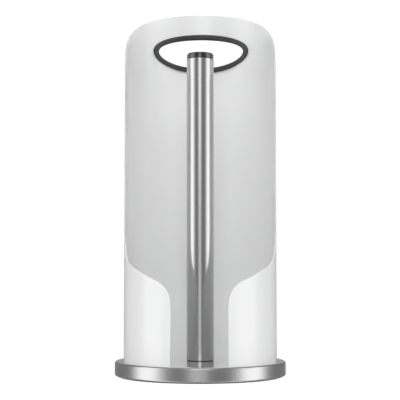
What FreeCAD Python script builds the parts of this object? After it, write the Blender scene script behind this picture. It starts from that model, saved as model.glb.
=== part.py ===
"""Free-standing paper towel holder: weighted steel base, rolled sheet shell with a hand hole, upright rod.

Millimetres. The origin is the centre of the base's underside, +Z is up and the open front faces -Y.
Angles called psi are measured round the Z axis from the front centre line, positive towards +X.
"""
import FreeCAD, Part
import math
import os

Vector = FreeCAD.Vector
Flat = FreeCAD.Base.Vector2d

# Base
BASE_DIAMETER = 156.5
BASE_HEIGHT = 13.3           # steel rim, from its lower edge to the top face
FOOT_PROUD = 0.75            # the rubber ring lifts the rim this far off the table
COVER_SHEET = 1.0
COVER_TOP_ROUND = 2.1
COVER_BOTTOM_ROUND = 2.0
COVER_LIP = 1.0              # flat stretch turned inwards under the rim

# Shell, whose outline is laid out on the flat sheet before rolling
SHELL_DIAMETER = 140.3
SHELL_SHEET = 1.0
SHEET_EDGE_ROUND = 0.35      # the coating rounds the cut edges
SHELL_HEIGHT = 336.25        # above the base, at the back
SLOT_HALF_WIDTH = 25.5       # along the sheet
SLOT_CORNER_HEIGHT = 52.7    # above the base, where the slot's edges start to turn outwards
SLOT_CORNER_RADIUS = 22.0
SHOULDER_SLOPE = 21.0        # degrees
SIDE_TURN_RADIUS = 34.0
SIDE_EDGE_PSI = 80.5         # degrees
TOP_CORNER_RADIUS = 25.0
TOP_ARC_RADIUS = 148.0

# Hand hole and its rubber edging, all ovals seen along Y
HOLE_HEIGHT = 297.1          # centre of the hole above the base
HOLE_HALF_WIDTH = 43.35
HOLE_HALF_HEIGHT = 16.3
TRIM_LIP = 3.0               # how far the edging laps over the sheet
TRIM_BEAD = 2.15             # how far it stands into the hole
TRIM_PROUD = 1.9             # how far it stands off each face of the sheet
TRIM_BEAD_ROUND = 2.0
TRIM_LIP_ROUND = 1.1

# Tabs folded from the shell's lower edge
TAB_PSI = (58.0, 122.0, 238.0, 302.0)
TAB_WIDTH = 18.0
TAB_LENGTH = 13.0            # radial reach of the folded leg
TAB_BEND = 0.6               # inside radius of the fold
TAB_GAP = 0.1                # clearance in the cover's slots
TAB_HOLE_RADIUS = 2.75
TAB_END_MARGIN = 0.5         # moves the hole inwards from the middle of the folded leg

# Rod
ROD_DIAMETER = 25.0
ROD_WALL = 1.2
ROD_LENGTH = 278.1
ROD_END_ROUND = 0.5
GASKET_THICKNESS = 0.6
CAP_DIAMETER = 24.6
CAP_HEAD = 5.95
CAP_ROUND = 1.7
CAP_DOME = 0.5
CAP_PLUG_LENGTH = 16.0
CAP_WALL = 1.8
INSERT_LENGTH = 20.0

# Inside the base
BALLAST_THICKNESS = 6.0
INNER_RADIUS = 74.7          # ballast and bottom plate pass the rim's turned-in lip
SEAT_DEPTH = 4.0             # pocket for the rod's screw and washers, from the ballast's underside
POCKET_GAP = 0.4             # room under the folded tabs
PLATE_THICKNESS = 1.6
PLATE_RECESS = 1.05          # underside of the plate above the rim's lower edge
RING_OUTER_RADIUS = 73.0
RING_INNER_RADIUS = 62.0
RING_GROOVE = 0.7
PLATE_SCREW_RADIUS = 50.0    # radius of the circle of plate screws
PLATE_BOSS_RADIUS = 4.5
PLATE_SCREW_PSI = (45.0, 135.0, 225.0, 315.0)

# Fasteners: thread radius, clearance radius, head and washer sizes
FIT = 0.02
M6, M6_CLEAR = 3.0, 3.3
M6_HEAD_WIDTH, M6_HEAD = 10.0, 4.0
M6_WASHER_RADIUS, M6_WASHER = 9.0, 1.6
M6_SPRING_RADIUS, M6_SPRING = 5.9, 1.6
M4, M4_CLEAR = 2.0, 2.25
M4_HEAD_RADIUS, M4_HEAD = 4.0, 2.4
M4_RECESS_REACH, M4_RECESS = 2.2, 1.4
M4_SPRING_RADIUS, M4_SPRING = 3.8, 0.9
M4_NUT_RADIUS, M4_NUT = 3.6, 2.6
M3 = 1.5
M3_HEAD_RADIUS, M3_HEAD = 2.75, 1.65
M3_RECESS_REACH, M3_RECESS = 1.4, 0.9
RECESS_WIDTH = 0.9
SPLIT_GAP = 0.8              # cut of a lock washer
SPLIT_SLANT = 20             # degrees
ROD_SCREW_LENGTH = 25.0
TAB_SCREW_LENGTH = 6.0
PLATE_SCREW_LENGTH = 10.0

# Heights that follow
RIM_BOTTOM = FOOT_PROUD
BASE_TOP = RIM_BOTTOM + BASE_HEIGHT
COVER_INSIDE = BASE_TOP - COVER_SHEET
BALLAST_BOTTOM = COVER_INSIDE - BALLAST_THICKNESS
PLATE_BOTTOM = RIM_BOTTOM + PLATE_RECESS
PLATE_TOP = PLATE_BOTTOM + PLATE_THICKNESS
SHELL_TOP = BASE_TOP + SHELL_HEIGHT
HOLE_Z = BASE_TOP + HOLE_HEIGHT
ROD_BOTTOM = BASE_TOP + GASKET_THICKNESS
ROD_TOP = ROD_BOTTOM + ROD_LENGTH
ROD_SEAT = BALLAST_BOTTOM + SEAT_DEPTH
TAB_TOP = COVER_INSIDE - TAB_BEND
TAB_BOTTOM = TAB_TOP - SHELL_SHEET
TAB_POCKET = TAB_BOTTOM - POCKET_GAP

# Radii that follow
BASE_RADIUS = BASE_DIAMETER / 2
SHELL_OUTER = SHELL_DIAMETER / 2
SHELL_INNER = SHELL_OUTER - SHELL_SHEET
ROD_RADIUS = ROD_DIAMETER / 2
BORE_RADIUS = ROD_RADIUS - ROD_WALL
TAB_HOLE_CIRCLE = SHELL_INNER - TAB_LENGTH / 2 - TAB_END_MARGIN


def save(name, shape):
    """Write one sub-part as a STEP file of the same name."""
    shape.exportStep(f"parts/{name}.step")


def around(psi, radius, z=0.0):
    """Point at an angle from the front centre line."""
    angle = math.radians(psi)
    return Vector(radius * math.sin(angle), -radius * math.cos(angle), z)


def cylinder(radius, bottom, top, centre=Vector(0, 0, 0)):
    """Upright cylinder between two heights."""
    return Part.makeCylinder(radius, top - bottom, Vector(centre.x, centre.y, bottom))


def ring(outer, inner, bottom, top, centre=Vector(0, 0, 0)):
    """Upright ring of rectangular section."""
    return cylinder(outer, bottom, top, centre).cut(cylinder(inner, bottom - 1, top + 1, centre))


def arc_through(first, middle, last):
    """Edge of the circle through three points."""
    return Part.Arc(first, middle, last).toShape()


def quarter(centre_r, centre_z, radius, start, end):
    """Arc in the XZ half plane round a centre, between two angles in degrees."""
    points = []
    for angle in (start, (start + end) / 2, end):
        turn = math.radians(angle)
        points.append(Vector(centre_r + radius * math.cos(turn), 0, centre_z + radius * math.sin(turn)))
    return arc_through(*points)


def section(*pieces):
    """Closed face in the XZ half plane from (r, z) points and ready-made arcs, joined by straight lines."""
    ends = []
    for piece in pieces:
        if isinstance(piece, tuple):
            point = Vector(piece[0], 0, piece[1])
            ends.append((point, point, None))
        else:
            ends.append((piece.valueAt(piece.FirstParameter), piece.valueAt(piece.LastParameter), piece))
    edges = []
    for (_, leave, edge), (arrive, _, _) in zip(ends, ends[1:] + ends[:1]):
        if edge is not None:
            edges.append(edge)
        if leave.distanceToPoint(arrive) > 1e-6:
            edges.append(Part.makeLine(leave, arrive))
    return Part.Face(Part.Wire(edges))


def turned(face, psi=0.0, sweep=360.0):
    """Solid of revolution of a section about Z, from an angle psi over a sweep."""
    start = face.copy()
    start.rotate(Vector(0, 0, 0), Vector(0, 0, 1), psi - 90)
    return start.revolve(Vector(0, 0, 0), Vector(0, 0, 1), sweep)


def hexagon(width, bottom, top):
    """Hexagonal prism of a given width across flats."""
    corner = width / math.sqrt(3)
    points = [around(60 * i, corner, bottom) for i in range(7)]
    return Part.Face(Part.makePolygon(points)).extrude(Vector(0, 0, top - bottom))


def oval(half_width, half_height, centre_z, front, back):
    """Oval prism along Y, between two values of Y."""
    ellipse = Part.Ellipse(Vector(0, front, centre_z), half_width, half_height)
    edge = ellipse.toShape()
    edge.rotate(Vector(0, front, centre_z), Vector(1, 0, 0), 90)
    return Part.Face(Part.Wire([edge])).extrude(Vector(0, back - front, 0))


def on_sheet(s, z):
    """Point of the flat sheet as the rolled surface's angle and height."""
    return Flat(s / SHELL_OUTER, z)


def sheet_line(start, end):
    """Straight line on the sheet, from (s, z) to (s, z)."""
    return Part.Geom2d.Line2dSegment(on_sheet(*start), on_sheet(*end))


def sheet_arc(centre, radius, start, end):
    """Arc on the flat sheet, which is an arc of an ellipse in the rolled surface's angle and height."""
    s, z = centre
    ellipse = Part.Geom2d.Ellipse2d(on_sheet(s, z + radius), on_sheet(s - radius, z), on_sheet(s, z))
    return Part.Geom2d.ArcOfEllipse2d(ellipse, math.radians(start - 90), math.radians(end - 90))


def on_circle(centre, radius, angle):
    """Point (s, z) of a circle on the flat sheet."""
    turn = math.radians(angle)
    return centre[0] + radius * math.cos(turn), centre[1] + radius * math.sin(turn)


def shell_outline():
    """Outline of the shell's right half on the flat sheet: s runs from the front centre line to the back."""
    back = math.pi * SHELL_OUTER
    side = math.radians(SIDE_EDGE_PSI) * SHELL_OUTER
    slope = math.radians(SHOULDER_SLOPE)

    slot_bottom = (SLOT_HALF_WIDTH, BASE_TOP)
    slot_top = (SLOT_HALF_WIDTH, BASE_TOP + SLOT_CORNER_HEIGHT)
    slot_centre = (SLOT_HALF_WIDTH + SLOT_CORNER_RADIUS, slot_top[1])
    shoulder_start = on_circle(slot_centre, SLOT_CORNER_RADIUS, 90 + SHOULDER_SLOPE)

    turn_s = side - SIDE_TURN_RADIUS
    shoulder_end_s = turn_s + SIDE_TURN_RADIUS * math.sin(slope)
    shoulder_end_z = shoulder_start[1] + (shoulder_end_s - shoulder_start[0]) * math.tan(slope)
    shoulder_end = (shoulder_end_s, shoulder_end_z)
    turn_centre = (turn_s, shoulder_end_z + SIDE_TURN_RADIUS * math.cos(slope))
    side_bottom = (side, turn_centre[1])

    top_centre = (back, SHELL_TOP - TOP_ARC_RADIUS)
    reach = TOP_ARC_RADIUS - TOP_CORNER_RADIUS
    corner_s = side + TOP_CORNER_RADIUS
    corner_centre = (corner_s, top_centre[1] + math.sqrt(reach ** 2 - (back - corner_s) ** 2))
    side_top = (side, corner_centre[1])
    join = math.degrees(math.atan2(corner_centre[1] - top_centre[1], corner_s - back))

    return [
        sheet_line(slot_bottom, slot_top),
        sheet_arc(slot_centre, SLOT_CORNER_RADIUS, 90 + SHOULDER_SLOPE, 180),
        sheet_line(shoulder_start, shoulder_end),
        sheet_arc(turn_centre, SIDE_TURN_RADIUS, SHOULDER_SLOPE - 90, 0),
        sheet_line(side_bottom, side_top),
        sheet_arc(corner_centre, TOP_CORNER_RADIUS, join, 180),
        sheet_arc(top_centre, TOP_ARC_RADIUS, 90, join),
        sheet_line((back, SHELL_TOP), (back, BASE_TOP)),
        sheet_line((back, BASE_TOP), slot_bottom),
    ]


def rolled(radius):
    """Edges of the outline on a cylinder of this radius, whose seam is the front centre line."""
    surface = Part.Cylinder()
    surface.Radius = radius
    surface.rotate(FreeCAD.Placement(Vector(0, 0, 0), Vector(0, 0, 1), -90))
    edges = [curve.toShape(surface) for curve in shell_outline()]
    return edges, Part.Face(surface, Part.Wire(edges))


def shell_sheet():
    """Rolled sheet without tabs or hole: two rolled faces joined by radial cut edges, then mirrored."""
    outer_edges, outer_face = rolled(SHELL_OUTER)
    inner_edges, inner_face = rolled(SHELL_INNER)
    walls = [Part.makeRuledSurface(a, b) for a, b in zip(outer_edges, inner_edges)]
    skin = Part.makeShell([outer_face, inner_face] + walls)
    skin.sewShape()
    right = Part.makeSolid(skin)
    left = right.mirror(Vector(0, 0, 0), Vector(1, 0, 0))
    return right.fuse(left).removeSplitter()


def tab_span():
    """Angle that one tab takes up, in degrees."""
    return math.degrees(TAB_WIDTH / SHELL_OUTER)


def shell_tab(psi):
    """Tab that goes down through the cover and is folded inwards under it, with a hole for its nut."""
    bend_r = SHELL_INNER - TAB_BEND
    bend_z = TAB_TOP + TAB_BEND
    fold = section(
        (SHELL_INNER, BASE_TOP + 1),
        (SHELL_INNER, bend_z),
        quarter(bend_r, bend_z, TAB_BEND, 0, -90),
        (SHELL_INNER - TAB_LENGTH, TAB_TOP),
        (SHELL_INNER - TAB_LENGTH, TAB_BOTTOM),
        quarter(bend_r, bend_z, TAB_BEND + SHELL_SHEET, -90, 0),
        (SHELL_OUTER, BASE_TOP + 1),
    )
    span = tab_span()
    tab = turned(fold, psi - span / 2, span)
    hole = cylinder(TAB_HOLE_RADIUS, TAB_BOTTOM - 1, TAB_TOP + 1, around(psi, TAB_HOLE_CIRCLE))
    return tab.cut(hole)


def shell():
    """Rolled and coated sheet with its hand hole and four folded tabs."""
    body = shell_sheet()
    cut_edges = [e for e in body.Edges if e.Length > 2 * SHELL_SHEET and e.BoundBox.ZMax > BASE_TOP + 1]
    body = body.makeFillet(SHEET_EDGE_ROUND, cut_edges)
    hole = oval(HOLE_HALF_WIDTH, HOLE_HALF_HEIGHT, HOLE_Z, SHELL_OUTER / 2, SHELL_OUTER + 10)
    return body.cut(hole).fuse([shell_tab(psi) for psi in TAB_PSI]).removeSplitter()


def handle_trim():
    """Rubber edging of U section, pushed over the edge of the hand hole."""
    near, far = SHELL_INNER / 2, SHELL_OUTER + 10
    bottom, top = HOLE_Z - HOLE_HALF_WIDTH, HOLE_Z + HOLE_HALF_WIDTH
    band = ring(SHELL_OUTER + TRIM_PROUD, SHELL_INNER - TRIM_PROUD, bottom, top)
    outside = oval(HOLE_HALF_WIDTH + TRIM_LIP, HOLE_HALF_HEIGHT + TRIM_LIP, HOLE_Z, near, far)
    inside = oval(HOLE_HALF_WIDTH - TRIM_BEAD, HOLE_HALF_HEIGHT - TRIM_BEAD, HOLE_Z, near, far)
    bead = band.common(outside.cut(inside))
    lip_edges = [e for e in bead.Edges if e.BoundBox.ZLength > 2 * HOLE_HALF_HEIGHT]
    bead = bead.makeFillet(TRIM_LIP_ROUND, lip_edges)
    bead_edges = [e for e in bead.Edges if e.BoundBox.XLength < 2 * HOLE_HALF_WIDTH]
    bead_edges = [e for e in bead_edges if e.BoundBox.ZLength < 2 * HOLE_HALF_HEIGHT]
    bead = bead.makeFillet(TRIM_BEAD_ROUND, bead_edges)
    sheet = ring(SHELL_OUTER, SHELL_INNER, bottom, top)
    hole = oval(HOLE_HALF_WIDTH, HOLE_HALF_HEIGHT, HOLE_Z, near, far)
    return bead.cut(sheet.cut(hole))


def base_cover():
    """Drawn steel cap: flat top, upright rim and an edge turned inwards, with slots for the shell's tabs."""
    top_r, bottom_r = BASE_RADIUS - COVER_TOP_ROUND, BASE_RADIUS - COVER_BOTTOM_ROUND
    top_z, bottom_z = BASE_TOP - COVER_TOP_ROUND, RIM_BOTTOM + COVER_BOTTOM_ROUND
    profile = section(
        (M6_CLEAR, BASE_TOP),
        quarter(top_r, top_z, COVER_TOP_ROUND, 90, 0),
        quarter(bottom_r, bottom_z, COVER_BOTTOM_ROUND, 0, -90),
        (bottom_r - COVER_LIP, RIM_BOTTOM),
        (bottom_r - COVER_LIP, RIM_BOTTOM + COVER_SHEET),
        quarter(bottom_r, bottom_z, COVER_BOTTOM_ROUND - COVER_SHEET, -90, 0),
        quarter(top_r, top_z, COVER_TOP_ROUND - COVER_SHEET, 0, 90),
        (M6_CLEAR, COVER_INSIDE),
    )
    cover = turned(profile)
    span = tab_span() + 2 * math.degrees(TAB_GAP / SHELL_OUTER)
    slot = section(
        (SHELL_INNER - TAB_GAP, COVER_INSIDE - 1),
        (SHELL_OUTER + TAB_GAP, COVER_INSIDE - 1),
        (SHELL_OUTER + TAB_GAP, BASE_TOP + 1),
        (SHELL_INNER - TAB_GAP, BASE_TOP + 1),
    )
    return cover.cut([turned(slot, psi - span / 2, span) for psi in TAB_PSI])


def ballast_disc():
    """Steel weight with pockets for the tabs and their nuts, and a seat for the rod's screw."""
    disc = cylinder(INNER_RADIUS, BALLAST_BOTTOM, COVER_INSIDE)
    cuts = [
        cylinder(M6_CLEAR, BALLAST_BOTTOM - 1, COVER_INSIDE + 1),
        cylinder(M6_WASHER_RADIUS + 1, BALLAST_BOTTOM - 1, ROD_SEAT),
    ]
    pocket = section(
        (SHELL_INNER - TAB_LENGTH - 1, TAB_POCKET),
        (SHELL_OUTER + 1, TAB_POCKET),
        (SHELL_OUTER + 1, COVER_INSIDE + 1),
        (SHELL_INNER - TAB_LENGTH - 1, COVER_INSIDE + 1),
    )
    span = tab_span() + 2
    for psi in TAB_PSI:
        centre = around(psi, TAB_HOLE_CIRCLE)
        cuts.append(turned(pocket, psi - span / 2, span))
        cuts.append(cylinder(M4_NUT_RADIUS + 0.5, TAB_BOTTOM - M4_NUT - 0.3, COVER_INSIDE, centre))
        cuts.append(cylinder(M4_CLEAR, BALLAST_BOTTOM - 1, COVER_INSIDE, centre))
    for psi in PLATE_SCREW_PSI:
        centre = around(psi, PLATE_SCREW_RADIUS)
        cuts.append(cylinder(M3 + FIT, BALLAST_BOTTOM - 1, COVER_INSIDE - 1, centre))
    return disc.cut(cuts)


def bottom_plate():
    """Moulded plate that closes the base, with four screw bosses and a groove for the rubber ring."""
    plate = cylinder(INNER_RADIUS, PLATE_BOTTOM, PLATE_TOP)
    groove_top = PLATE_BOTTOM + RING_GROOVE
    bosses = []
    cuts = [ring(RING_OUTER_RADIUS, RING_INNER_RADIUS, PLATE_BOTTOM - 1, groove_top)]
    for psi in PLATE_SCREW_PSI:
        centre = around(psi, PLATE_SCREW_RADIUS)
        bosses.append(cylinder(PLATE_BOSS_RADIUS, PLATE_BOTTOM, BALLAST_BOTTOM, centre))
        cuts.append(cylinder(M3 + 0.2, PLATE_BOTTOM - 1, BALLAST_BOTTOM + 1, centre))
        cuts.append(countersink(centre, FIT))
    return plate.fuse(bosses).removeSplitter().cut(cuts)


def countersink(centre, gap=0.0):
    """Conical head of a plate screw, or its seat when a gap is given."""
    base = Vector(centre.x, centre.y, PLATE_BOTTOM)
    return Part.makeCone(M3_HEAD_RADIUS + gap, M3 + gap, M3_HEAD, base)


def foot_ring():
    """Non-slip rubber ring in the bottom plate's groove; the holder stands on it."""
    rubber = ring(RING_OUTER_RADIUS, RING_INNER_RADIUS, 0, PLATE_BOTTOM + RING_GROOVE)
    rims = [edge for edge in rubber.Edges if edge.BoundBox.ZMax < 0.1]
    return rubber.makeFillet(0.5, rims)


def rod_tube():
    """Stainless tube; its upper end is slightly rounded."""
    tube = ring(ROD_RADIUS, BORE_RADIUS, ROD_BOTTOM, ROD_TOP)
    top_edges = [e for e in tube.Edges if e.BoundBox.ZMin > ROD_TOP - 0.1]
    outer_edges = [e for e in top_edges if e.BoundBox.XLength > 2 * BORE_RADIUS + 1]
    return tube.makeFillet(ROD_END_ROUND, outer_edges)


def rod_cap():
    """Plastic plug: a rounded, slightly domed head and a hollow stem pushed into the tube."""
    head_top = ROD_TOP + CAP_HEAD
    head_r = CAP_DIAMETER / 2
    stem_r = BORE_RADIUS - FIT
    stem_bottom = ROD_TOP - CAP_PLUG_LENGTH
    shoulder = head_r - CAP_ROUND
    # The dome's sphere meets the rounded edge near its top.
    dome = arc_through(
        Vector(0, 0, head_top),
        Vector(shoulder / 2, 0, head_top - CAP_DOME / 4),
        Vector(shoulder, 0, head_top - CAP_DOME),
    )
    edge_z = head_top - CAP_DOME - CAP_ROUND
    profile = section(
        dome,
        quarter(shoulder, edge_z, CAP_ROUND, 90, 0),
        (head_r, ROD_TOP),
        (stem_r, ROD_TOP),
        (stem_r, stem_bottom + 0.8),
        (stem_r - 0.8, stem_bottom),
        (stem_r - CAP_WALL, stem_bottom),
        (stem_r - CAP_WALL, ROD_TOP + 1),
        (0, ROD_TOP + 1),
    )
    return turned(profile)


def rod_foot_insert():
    """Threaded plug fixed in the tube's lower end."""
    plug = cylinder(BORE_RADIUS - FIT, ROD_BOTTOM, ROD_BOTTOM + INSERT_LENGTH)
    plug = plug.makeChamfer(0.6, [e for e in plug.Edges if e.BoundBox.ZMin > ROD_BOTTOM + 1])
    return plug.cut(cylinder(M6 + FIT, ROD_BOTTOM - 1, ROD_BOTTOM + INSERT_LENGTH + 1))


def rod_gasket():
    """Thin ring between the tube's foot and the base."""
    return ring(ROD_RADIUS - 0.3, M6_CLEAR + 0.4, BASE_TOP, ROD_BOTTOM)


def split_washer(outer, inner, bottom, top, centre=Vector(0, 0, 0)):
    """Spring lock washer with its slanting cut."""
    washer = ring(outer, inner, bottom, top, centre)
    height = 3 * (top - bottom)
    gap = Part.makeBox(outer + 1, SPLIT_GAP, height, Vector(inner - 1, -SPLIT_GAP / 2, -height / 2))
    gap.rotate(Vector(0, 0, 0), Vector(1, 0, 0), SPLIT_SLANT)
    gap.translate(Vector(centre.x, centre.y, (bottom + top) / 2))
    return washer.cut(gap)


def rod_washer():
    """Large plain washer in the ballast's centre pocket."""
    return ring(M6_WASHER_RADIUS, M6_CLEAR, ROD_SEAT - M6_WASHER, ROD_SEAT)


def rod_spring_washer():
    """Lock washer between the plain washer and the screw's head."""
    top = ROD_SEAT - M6_WASHER
    return split_washer(M6_SPRING_RADIUS, M6 + 0.15, top - M6_SPRING, top)


def rod_screw():
    """Hexagon screw that pulls the rod down on to the base."""
    seat = ROD_SEAT - M6_WASHER - M6_SPRING
    head = hexagon(M6_HEAD_WIDTH, seat - M6_HEAD, seat)
    face = cylinder(M6_HEAD_WIDTH / 2 * 1.12, seat - M6_HEAD, seat)
    face = face.makeChamfer(0.7, [e for e in face.Edges if e.BoundBox.ZMax < seat - M6_HEAD + 0.1])
    shank = cylinder(M6, seat, seat + ROD_SCREW_LENGTH)
    shank = shank.makeChamfer(0.6, [e for e in shank.Edges if e.BoundBox.ZMin > seat + 1])
    return head.common(face).fuse(shank)


def tab_nuts():
    """Clinch nuts pressed into the tabs from below."""
    nuts = []
    for psi in TAB_PSI:
        centre = around(psi, TAB_HOLE_CIRCLE)
        collar = cylinder(TAB_HOLE_RADIUS - FIT, TAB_BOTTOM, TAB_TOP, centre)
        body = cylinder(M4_NUT_RADIUS, TAB_BOTTOM - M4_NUT, TAB_BOTTOM, centre)
        thread = cylinder(M4 + FIT, TAB_BOTTOM - M4_NUT - 1, TAB_TOP + 1, centre)
        nuts.append(collar.fuse(body).cut(thread))
    return Part.makeCompound(nuts)


def tab_spring_washers():
    """Lock washers under the tab screws."""
    bottom = BALLAST_BOTTOM - M4_SPRING
    rings = []
    for psi in TAB_PSI:
        centre = around(psi, TAB_HOLE_CIRCLE)
        rings.append(split_washer(M4_SPRING_RADIUS, M4 + 0.15, bottom, BALLAST_BOTTOM, centre))
    return Part.makeCompound(rings)


def tab_screws():
    """Pan head screws from below, through the ballast into the tabs' nuts, with a crossed recess."""
    seat = BALLAST_BOTTOM - M4_SPRING
    screws = []
    for psi in TAB_PSI:
        centre = around(psi, TAB_HOLE_CIRCLE)
        head = cylinder(M4_HEAD_RADIUS, seat - M4_HEAD, seat, centre)
        head = head.makeFillet(1.2, [e for e in head.Edges if e.BoundBox.ZMax < seat - M4_HEAD + 0.1])
        shank = cylinder(M4, seat, seat + TAB_SCREW_LENGTH, centre)
        screws.append(head.fuse(shank).cut(cross_recess(centre, M4_RECESS_REACH, seat - M4_HEAD, M4_RECESS)))
    return Part.makeCompound(screws)


def cross_recess(centre, reach, bottom, depth):
    """Crossed driver recess, cut upwards into a head."""
    arms = [
        Part.makeBox(2 * reach, RECESS_WIDTH, depth, Vector(-reach, -RECESS_WIDTH / 2, 0)),
        Part.makeBox(RECESS_WIDTH, 2 * reach, depth, Vector(-RECESS_WIDTH / 2, -reach, 0)),
    ]
    cross = arms[0].fuse(arms[1])
    cross.translate(Vector(centre.x, centre.y, bottom))
    return cross


def bottom_plate_screws():
    """Countersunk screws through the bottom plate's bosses into the ballast."""
    screws = []
    for psi in PLATE_SCREW_PSI:
        centre = around(psi, PLATE_SCREW_RADIUS)
        shank = cylinder(M3, PLATE_BOTTOM + M3_HEAD, PLATE_BOTTOM + PLATE_SCREW_LENGTH, centre)
        screw = countersink(centre).fuse(shank)
        screws.append(screw.cut(cross_recess(centre, M3_RECESS_REACH, PLATE_BOTTOM, M3_RECESS)))
    return Part.makeCompound(screws)


SUB_PARTS = [
    base_cover,
    ballast_disc,
    bottom_plate,
    bottom_plate_screws,
    foot_ring,
    shell,
    handle_trim,
    tab_nuts,
    tab_screws,
    tab_spring_washers,
    rod_tube,
    rod_cap,
    rod_foot_insert,
    rod_gasket,
    rod_washer,
    rod_spring_washer,
    rod_screw,
]

os.makedirs("parts", exist_ok=True)
for sub_part in SUB_PARTS:
    save(sub_part.__name__, sub_part())
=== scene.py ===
"""Looks for the paper towel holder: materials, studio light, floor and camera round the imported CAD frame."""
import math

import bpy
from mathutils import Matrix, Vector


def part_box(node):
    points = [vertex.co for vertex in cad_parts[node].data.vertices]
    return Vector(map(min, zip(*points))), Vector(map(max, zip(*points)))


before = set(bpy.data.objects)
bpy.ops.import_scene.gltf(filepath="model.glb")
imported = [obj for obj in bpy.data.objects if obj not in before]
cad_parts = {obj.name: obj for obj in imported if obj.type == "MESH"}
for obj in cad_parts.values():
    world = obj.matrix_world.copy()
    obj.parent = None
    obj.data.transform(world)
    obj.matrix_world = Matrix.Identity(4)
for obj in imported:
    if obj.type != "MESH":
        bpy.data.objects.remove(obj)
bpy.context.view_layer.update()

base_low, base_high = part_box("base_cover")
base_radius = (base_high[0] - base_low[0]) / 2

CUT_EDGE_SHADE_GREY = 0.70            # painted shade: the sheet's cut edges, where the coating wraps them, are drawn in this darker grey
CUT_EDGE_FACING = (0.35, 0.75)  # below the first a face counts as a cut edge, above the second it doesn't

# Brushed steel: reflectance and roughness of its upright faces and of its level ones, which are smoother and
# get a higher reflectance as painted light.
STEEL_TONE = 0.54
STEEL_LEVEL_LIT_TONE = 0.92
STEEL_LEVEL_ROUGHNESS = 0.08
LINE_STRETCH = 0.004            # how far the fine lines' pattern moves on in one radian round the axis
BROAD_STRETCH = 0.02            # the same for the broad bands between them
LINE_SHARE = 0.7                # the fine lines' part in the tone, which the broad bands make up to one
BROAD_SHARE = 0.3

HIDDEN_HARDWARE = (
    "bottom_plate_screws",
    "tab_nuts",
    "tab_screws",
    "tab_spring_washers",
    "rod_foot_insert",
    "rod_washer",
    "rod_spring_washer",
    "rod_screw",
)

# Floor, in metres from the Z axis or from the base's rim.
FLOOR_REACH = 8.0
FLOOR_GREY = 0.6
CONTACT_INNER = 0.005           # the dark contact line under the rim fades out between these
CONTACT_OUTER = 0.002
CLEAR_WIDTH = 0.003             # reflections look right through the floor from this far outside the rim
CLEAR_AT_RIM = 0.6              # and see that much of what lies behind it at the rim
WHITE_LEVEL = 1.05              # what the camera sees of the floor and the background

# Studio for matt surfaces. Rows go up from the horizon, and what lies below it, to overhead; columns go from
# straight in front of the object round to behind it. The levels began as a least-squares fit of the render
# to the photo's greys, were rounded and were then changed.
HEIGHT_STEPS = (0.15, 0.35, 0.60, 0.90)   # sine of the elevation
HEIGHT_SOFTNESS = 0.08
TURN_STEPS = (10, 27, 50, 85)             # degrees
TURN_SOFTNESS = 6
MATT_LEVELS = (
    (0.0, 0.0, 0.0, 0.9, 2.1),
    (1.0, 0.0, 0.0, 0.9, 2.1),
    (3.3, 0.4, 0.2, 0.7, 0.1),
    (6.0, 2.7, 2.9, 0.0, 0.1),
    (2.1, 2.1, 2.1, 2.1, 2.1),
)

# Studio for reflections: a faint level all round, a wide bank with a brighter core on each side
# and a narrow strip in front, brighter higher up, with a backdrop behind and a light overhead. Each pair
# is where a soft edge begins and ends, in degrees from straight in front or as a sine of the elevation.
GLOSS_LEVELS = {
    "round": 0.25,
    "banks": 0.84,
    "cores": 0.70,
    "strip": 0.58,
    "strip_top": 0.90,
    "backdrop": 0.08,
    "overhead": 0.6,
}
BANK_START = (36, 62)
BANK_END = (88, 106)
CORE_START = (56, 60)
CORE_END = (88, 93)
STRIP_HALF_WIDTH = (10, 13)
STRIP_TO_LEFT = 3
BACKDROP_START = (140, 160)
LOW_END = (0.50, 0.75)
STRIP_TOP_START = (0.0, 0.22)
OVERHEAD_START = (0.90, 0.97)

# Camera, fitted to the photo's outline. Lens and sensor are in millimetres, the rest in metres and radians.
LENS = 102.02
SENSOR_WIDTH = 36.0
NEAR_CLIP = 0.05
FAR_CLIP = 60.0
CAMERA_DISTANCE = 1.0477
CAMERA_HEIGHT = 0.0963
CAMERA_SIDE = math.radians(0.70)
CAMERA_TILT = 0.0622
AIM_TO_LEFT = 0.00022           # off the Z axis

DIFFUSE_BOUNCES = 12            # light passes to and fro often inside the white shell


# ---- node helpers -------------------------------------------------------------------------------

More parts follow.
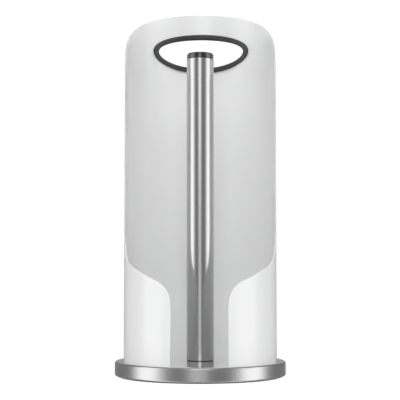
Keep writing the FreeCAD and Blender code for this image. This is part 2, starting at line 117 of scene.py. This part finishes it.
class Nodes:
    """Short calls for building a node tree."""

    def __init__(self, tree):
        self.tree = tree
        tree.nodes.clear()

    def add(self, kind, **settings):
        node = self.tree.nodes.new(kind)
        for name, value in settings.items():
            setattr(node, name, value)
        return node

    def feed(self, socket, value):
        """Links a socket, or sets its plain value."""
        if isinstance(value, bpy.types.NodeSocket):
            self.tree.links.new(value, socket)
        else:
            socket.default_value = value

    def math(self, operation, first, second=0.0, third=0.0):
        node = self.add("ShaderNodeMath", operation=operation)
        for socket, value in zip(node.inputs, (first, second, third)):
            self.feed(socket, value)
        return node.outputs[0]

    def smooth(self, value, low, high, start=0.0, end=1.0):
        """Smooth step from start, at low, to end, at high."""
        node = self.add("ShaderNodeMapRange", interpolation_type="SMOOTHSTEP")
        self.feed(node.inputs["Value"], value)
        self.feed(node.inputs["From Min"], low)
        self.feed(node.inputs["From Max"], high)
        self.feed(node.inputs["To Min"], start)
        self.feed(node.inputs["To Max"], end)
        return node.outputs[0]

    def split(self, vector):
        node = self.add("ShaderNodeSeparateXYZ")
        self.feed(node.inputs[0], vector)
        return node.outputs

    def join(self, x, y, z):
        node = self.add("ShaderNodeCombineXYZ")
        for socket, value in zip(node.inputs, (x, y, z)):
            self.feed(socket, value)
        return node.outputs[0]

    def noise(self, vector, scale, detail, roughness):
        node = self.add("ShaderNodeTexNoise")
        self.feed(node.inputs["Vector"], vector)
        node.inputs["Scale"].default_value = scale
        node.inputs["Detail"].default_value = detail
        node.inputs["Roughness"].default_value = roughness
        return node.outputs["Fac"]

    def mix(self, data_type, factor, first, second):
        node = self.add("ShaderNodeMix", data_type=data_type)
        self.feed(node.inputs["Factor"], factor)
        self.feed(node.inputs["A"], first)
        self.feed(node.inputs["B"], second)
        return node.outputs["Result"]

    def mix_color(self, factor, first, second):
        return self.mix("RGBA", factor, first, second)

    def mix_value(self, factor, first, second):
        return self.mix("FLOAT", factor, first, second)

    def blend(self, factor, first, second):
        """Mixes two shaders."""
        node = self.add("ShaderNodeMixShader")
        self.feed(node.inputs[0], factor)
        self.tree.links.new(first, node.inputs[1])
        self.tree.links.new(second, node.inputs[2])
        return node.outputs[0]

    def bump(self, height, distance, strength, normal=None):
        node = self.add("ShaderNodeBump")
        node.inputs["Strength"].default_value = strength
        node.inputs["Distance"].default_value = distance
        self.feed(node.inputs["Height"], height)
        if normal is not None:
            self.feed(node.inputs["Normal"], normal)
        return node.outputs["Normal"]

    def place(self):
        """Object coordinates, which are the frame's metres on every piece."""
        return self.add("ShaderNodeTexCoord").outputs["Object"]


def material(name):
    made = bpy.data.materials.new(name)
    made.use_nodes = True
    return made, Nodes(made.node_tree)


def principled(nodes, **values):
    """Principled shader and output; names use _ for a space."""
    shader = nodes.add("ShaderNodeBsdfPrincipled")
    output = nodes.add("ShaderNodeOutputMaterial")
    nodes.tree.links.new(shader.outputs[0], output.inputs[0])
    for name, value in values.items():
        nodes.feed(shader.inputs[name.replace("_", " ")], value)
    return shader


def grey(level):
    return (level, level, level, 1.0)


def axis_distance(nodes, x, y):
    """Distance from the Z axis."""
    return nodes.math("SQRT", nodes.math("ADD", nodes.math("MULTIPLY", x, x), nodes.math("MULTIPLY", y, y)))


# ---- materials ----------------------------------------------------------------------------------

def white_coating():
    """Glossy powder coating: faint orange peel, slightly uneven gloss, and painted shade on the sheet's cut
    edges.
    """
    made, n = material("white_coating")
    place = n.place()
    peel = n.noise(place, scale=420.0, detail=2.0, roughness=0.5)
    fine = n.noise(place, scale=2600.0, detail=1.0, roughness=0.5)
    cloud = n.noise(place, scale=14.0, detail=3.0, roughness=0.55)
    normal = n.bump(peel, distance=0.000012, strength=0.35)
    normal = n.bump(fine, distance=0.000002, strength=0.25, normal=normal)
    tone = n.mix_color(cloud, (0.950, 0.951, 0.952, 1.0), (0.955, 0.957, 0.958, 1.0))
    # The sheet's faces look straight at the Z axis or away from it; its cut edges don't.
    x, y, _ = n.split(place)
    face_x, face_y, _ = n.split(n.add("ShaderNodeNewGeometry").outputs["True Normal"])
    outward = n.math("ADD", n.math("MULTIPLY", x, face_x), n.math("MULTIPLY", y, face_y))
    facing = n.math("ABSOLUTE", n.math("DIVIDE", outward, axis_distance(n, x, y)))
    # painted shade: the cut edges get the darker grey in place of the white tone
    edge = n.smooth(facing, *CUT_EDGE_FACING, 1.0, 0.0)
    principled(
        n,
        Base_Color=n.mix_color(edge, tone, grey(CUT_EDGE_SHADE_GREY)),
        Roughness=n.smooth(cloud, 0.3, 0.7, 0.05, 0.08),
        IOR=1.6,
        Normal=normal,
    )
    return made


def brushed_steel(name, rough, lines_per_mm):
    """Stainless steel brushed round the Z axis in fine lines; level faces are smoother, and their higher
    reflectance is painted light.
    """
    made, n = material(name)
    x, y, z = n.split(n.place())
    angle = n.math("ARCTAN2", y, x)
    across = n.math("ADD", z, axis_distance(n, x, y))
    _, _, up = n.split(n.add("ShaderNodeNewGeometry").outputs["True Normal"])
    level = n.smooth(up, 0.6, 0.95)
    along_lines = n.join(n.math("MULTIPLY", angle, LINE_STRETCH), 0.0, across)
    along_bands = n.join(n.math("MULTIPLY", angle, BROAD_STRETCH), 0.0, across)
    lines = n.noise(along_lines, scale=lines_per_mm * 1000.0, detail=3.0, roughness=0.6)
    broad = n.noise(along_bands, scale=90.0, detail=2.0, roughness=0.5)
    tone = n.math("ADD", n.math("MULTIPLY", lines, LINE_SHARE), n.math("MULTIPLY", broad, BROAD_SHARE))
    coarse = n.mix_value(level, rough, STEEL_LEVEL_ROUGHNESS)
    # painted light: level faces get a far higher reflectance than upright ones, which brightens level faces
    # such as the base's top
    painted_lit_tone = n.mix_value(level, STEEL_TONE, STEEL_LEVEL_LIT_TONE)
    shader = principled(
        n,
        Base_Color=n.math("MULTIPLY", painted_lit_tone, n.smooth(tone, 0.2, 0.8, 0.96, 1.04)),
        Metallic=1.0,
        Roughness=n.math("MULTIPLY", coarse, n.smooth(lines, 0.25, 0.75, 0.9, 1.1)),
        Anisotropic=0.65,
        Normal=n.bump(lines, distance=0.000002, strength=0.4),
    )
    tangent = n.add("ShaderNodeTangent", direction_type="RADIAL", axis="Z")
    n.tree.links.new(tangent.outputs[0], shader.inputs["Tangent"])
    return made


def moulded_black():
    """Black glossy moulded plastic with a very fine grain."""
    made, n = material("black_plastic")
    place = n.place()
    grain = n.noise(place, scale=2200.0, detail=2.0, roughness=0.6)
    cloud = n.noise(place, scale=60.0, detail=2.0, roughness=0.5)
    principled(
        n,
        Base_Color=n.mix_color(cloud, grey(0.010), grey(0.014)),
        Roughness=n.smooth(grain, 0.3, 0.7, 0.10, 0.16),
        IOR=1.9,
        Normal=n.bump(grain, distance=0.000003, strength=0.3),
    )
    return made


def rubber(name, low, high, rough):
    """Matt rubber with a dusty bloom and fine grain."""
    made, n = material(name)
    place = n.place()
    grain = n.noise(place, scale=1800.0, detail=3.0, roughness=0.6)
    bloom = n.noise(place, scale=45.0, detail=3.0, roughness=0.6)
    principled(
        n,
        Base_Color=n.mix_color(bloom, grey(low), grey(high)),
        Roughness=n.smooth(bloom, 0.3, 0.7, rough - 0.05, rough + 0.08),
        IOR=1.5,
        Normal=n.bump(grain, distance=0.00001, strength=0.5),
    )
    return made


def zinc_plate():
    """Bright zinc-plated steel for the screws, nuts and washers."""
    made, n = material("zinc_steel")
    place = n.place()
    cloud = n.noise(place, scale=320.0, detail=3.0, roughness=0.6)
    principled(
        n,
        Base_Color=n.mix_color(cloud, (0.60, 0.63, 0.66, 1.0), (0.72, 0.72, 0.68, 1.0)),
        Metallic=1.0,
        Roughness=n.smooth(cloud, 0.3, 0.7, 0.26, 0.40),
        Normal=n.bump(cloud, distance=0.00001, strength=0.3),
    )
    return made


def raw_steel():
    """Oiled raw plate of the ballast."""
    made, n = material("ballast_steel")
    place = n.place()
    cloud = n.noise(place, scale=70.0, detail=5.0, roughness=0.65)
    principled(
        n,
        Base_Color=n.mix_color(cloud, (0.17, 0.165, 0.16, 1.0), (0.30, 0.29, 0.28, 1.0)),
        Metallic=0.85,
        Roughness=n.smooth(cloud, 0.3, 0.7, 0.42, 0.6),
        Normal=n.bump(cloud, distance=0.00005, strength=0.4),
    )
    return made


def dress():
    """Gives each CAD node its material."""
    looks = (
        (white_coating(), ("shell",)),
        (brushed_steel("brushed_steel_base", rough=0.22, lines_per_mm=5.0), ("base_cover",)),
        (brushed_steel("polished_steel_rod", rough=0.18, lines_per_mm=6.0), ("rod_tube",)),
        (moulded_black(), ("rod_cap", "rod_gasket", "bottom_plate")),
        (rubber("dark_rubber", low=0.040, high=0.055, rough=0.42), ("handle_trim",)),
        (rubber("foot_rubber", low=0.020, high=0.035, rough=0.75), ("foot_ring",)),
        (zinc_plate(), HIDDEN_HARDWARE),
        (raw_steel(), ("ballast_disc",)),
    )
    for look, nodes in looks:
        for node in nodes:
            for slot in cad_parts[node].material_slots:
                slot.material = look


# ---- stage --------------------------------------------------------------------------------------

def floor():
    """Floor that the camera sees white and matt surfaces see grey. Reflections look past it to the world."""
    mesh = bpy.data.meshes.new("floor")
    reach = FLOOR_REACH
    corners = [(-reach, -reach, 0), (reach, -reach, 0), (reach, reach, 0), (-reach, reach, 0)]
    mesh.from_pydata(corners, [], [(0, 1, 2, 3)])
    plane = bpy.data.objects.new("floor", mesh)
    bpy.context.collection.objects.link(plane)
    made, n = material("floor")
    x, y, _ = n.split(n.place())
    radius = axis_distance(n, x, y)
    path = n.add("ShaderNodeLightPath")
    matt = n.add("ShaderNodeBsdfDiffuse")
    n.feed(matt.inputs["Color"], grey(FLOOR_GREY))
    white = n.add("ShaderNodeEmission")
    n.feed(white.inputs["Color"], grey(1.0))
    n.feed(white.inputs["Strength"], WHITE_LEVEL)
    clear = n.add("ShaderNodeBsdfTransparent")
    contact = n.smooth(radius, base_radius - CONTACT_INNER, base_radius - CONTACT_OUTER)
    seen = n.blend(contact, matt.outputs[0], white.outputs[0])
    look = n.blend(path.outputs["Is Camera Ray"], matt.outputs[0], seen)
    beyond = n.smooth(radius, base_radius, base_radius + CLEAR_WIDTH, CLEAR_AT_RIM, 1.0)
    reflected = n.blend(beyond, matt.outputs[0], clear.outputs[0])
    look = n.blend(path.outputs["Is Glossy Ray"], look, reflected)
    output = n.add("ShaderNodeOutputMaterial")
    n.tree.links.new(look, output.inputs[0])
    mesh.materials.append(made)


def bands(n, value, steps, softness):
    """Weights, adding up to one, of the bands between the steps, with soft changes from one to the next."""
    passed = [1.0] + [n.smooth(value, step - softness, step + softness) for step in steps] + [0.0]
    return [n.math("SUBTRACT", this, following) for this, following in zip(passed, passed[1:])]


def total(n, terms, levels):
    """Sum of the terms, each times its level."""
    result = 0.0
    for term, level in zip(terms, levels):
        result = n.math("MULTIPLY_ADD", term, level, result)
    return result


def rising(n, angle, edge):
    """From nothing to one over a soft edge, given in degrees."""
    return n.smooth(angle, math.radians(edge[0]), math.radians(edge[1]))


def falling(n, angle, edge):
    """From one to nothing over a soft edge, given in degrees."""
    return n.smooth(angle, math.radians(edge[0]), math.radians(edge[1]), 1.0, 0.0)


def studio():
    """Soft studio as the world: matt surfaces see broad bands of light, reflections see banks and a strip."""
    world = bpy.data.worlds.new("studio")
    bpy.context.scene.world = world
    world.use_nodes = True
    n = Nodes(world.node_tree)
    x, y, z = n.split(n.add("ShaderNodeTexCoord").outputs["Generated"])
    turn = n.math("ARCTAN2", x, n.math("MULTIPLY", y, -1.0))
    spread = n.math("ABSOLUTE", turn)
    from_strip = n.math("ABSOLUTE", n.math("ADD", turn, math.radians(STRIP_TO_LEFT)))

    heights = bands(n, z, HEIGHT_STEPS, HEIGHT_SOFTNESS)
    turns = bands(n, spread, [math.radians(step) for step in TURN_STEPS], math.radians(TURN_SOFTNESS))
    matt = total(n, heights, [total(n, turns, row) for row in MATT_LEVELS])

    low = n.smooth(z, *LOW_END, 1.0, 0.0)
    bank = n.math("MULTIPLY", rising(n, spread, BANK_START), falling(n, spread, BANK_END))
    core = n.math("MULTIPLY", rising(n, spread, CORE_START), falling(n, spread, CORE_END))
    strip = n.math("MULTIPLY", falling(n, from_strip, STRIP_HALF_WIDTH), low)
    terms = {
        "round": 1.0,
        "banks": n.math("MULTIPLY", bank, low),
        "cores": n.math("MULTIPLY", core, low),
        "strip": strip,
        "strip_top": n.math("MULTIPLY", strip, n.smooth(z, *STRIP_TOP_START)),
        "backdrop": rising(n, spread, BACKDROP_START),
        "overhead": n.smooth(z, *OVERHEAD_START),
    }
    gloss = total(n, terms.values(), [GLOSS_LEVELS[name] for name in terms])

    path = n.add("ShaderNodeLightPath")
    level = n.mix_value(path.outputs["Is Diffuse Ray"], gloss, matt)
    level = n.mix_value(path.outputs["Is Camera Ray"], level, WHITE_LEVEL)
    back = n.add("ShaderNodeBackground")
    n.feed(back.inputs["Color"], grey(1.0))
    n.feed(back.inputs["Strength"], level)
    output = n.add("ShaderNodeOutputWorld")
    n.tree.links.new(back.outputs[0], output.inputs[0])


def camera():
    """Camera in front, about a quarter of the way up the object and tilted up."""
    data = bpy.data.cameras.new("camera")
    data.sensor_width = SENSOR_WIDTH
    data.lens = LENS
    data.clip_start = NEAR_CLIP
    data.clip_end = FAR_CLIP
    eye = bpy.data.objects.new("camera", data)
    bpy.context.collection.objects.link(eye)
    across = CAMERA_DISTANCE * math.sin(CAMERA_SIDE)
    away = CAMERA_DISTANCE * math.cos(CAMERA_SIDE)
    eye.location = (across, -away, CAMERA_HEIGHT)
    eye.rotation_euler = (math.pi / 2 + CAMERA_TILT, 0.0, CAMERA_SIDE + AIM_TO_LEFT)
    bpy.context.scene.camera = eye


dress()
floor()
studio()
camera()
scene = bpy.context.scene
scene.view_settings.view_transform = "Standard"
scene.world.cycles.sampling_method = "NONE"
scene.cycles.diffuse_bounces = DIFFUSE_BOUNCES
